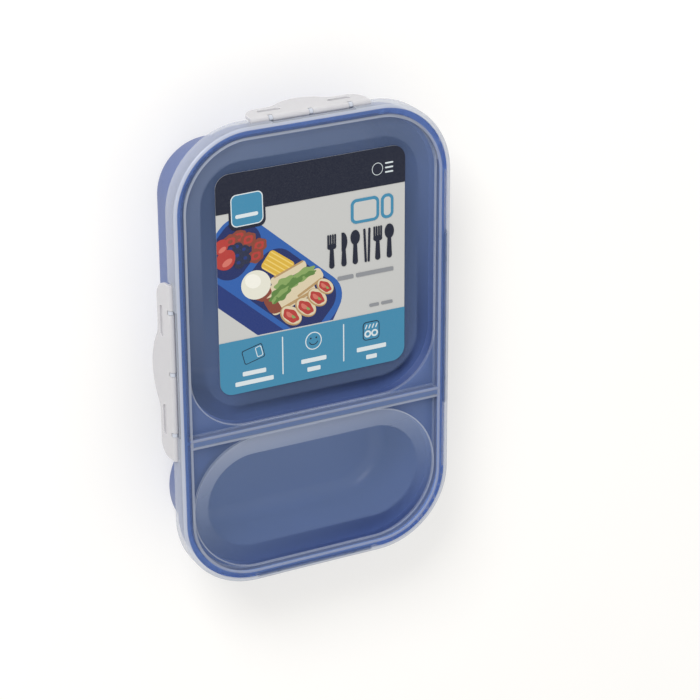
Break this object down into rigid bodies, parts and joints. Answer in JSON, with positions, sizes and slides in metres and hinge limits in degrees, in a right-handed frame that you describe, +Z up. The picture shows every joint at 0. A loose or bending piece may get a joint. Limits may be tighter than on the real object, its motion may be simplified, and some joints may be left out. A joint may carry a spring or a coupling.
{
  "type": "lunch box",
  "caption": "Flat rectangular lunch box with rounded corners, a tray with a large and a small compartment, and a frosted sealed lid held down by hinged clips.",
  "frame": {"origin": "centre of the box's outline on the surface that it rests on", "axes": "+Z up out of the lid, +Y along the box towards the large compartment, +X across it"},
  "size_m": [0.1566, 0.2444, 0.05],
  "materials": {
    "blue_plastic": "smooth blue polypropylene with a soft gloss",
    "frosted_plastic": "frosted translucent polypropylene",
    "seal_rubber": "blue silicone",
    "clip_plastic": "milky white polypropylene, satin",
    "label_paper": null
  },
  "bodies": {
    "tray": {"tray": "blue_plastic"},
    "lid": {"lid": "frosted_plastic", "seal": "seal_rubber", "label": "label_paper"},
    "left_clip": {"left_clip": "clip_plastic"},
    "right_clip": {"right_clip": "clip_plastic"},
    "top_end_clip": {"top_end_clip": "clip_plastic"},
    "bottom_end_clip": {"bottom_end_clip": "clip_plastic"}
  },
  "joints": [
    {"name": "lid_lift", "type": "slide", "parent": "tray", "child": "lid", "axis": [0, 0, 1], "range_m": [0, 0.09]},
    {"name": "left_clip_hinge", "type": "hinge", "parent": "lid", "child": "left_clip", "pos_m": [-0.0746, 0, 0.0448], "axis": [0, 1, 0], "range_deg": [0, 110]},
    {"name": "right_clip_hinge", "type": "hinge", "parent": "lid", "child": "right_clip", "pos_m": [0.0746, 0, 0.0448], "axis": [0, -1, 0], "range_deg": [0, 110]},
    {"name": "top_end_clip_hinge", "type": "hinge", "parent": "lid", "child": "top_end_clip", "pos_m": [0, 0.1203, 0.0448], "axis": [1, 0, 0], "range_deg": [0, 110]},
    {"name": "bottom_end_clip_hinge", "type": "hinge", "parent": "lid", "child": "bottom_end_clip", "pos_m": [0, -0.1203, 0.0448], "axis": [-1, 0, 0], "range_deg": [0, 110]}
  ]
}
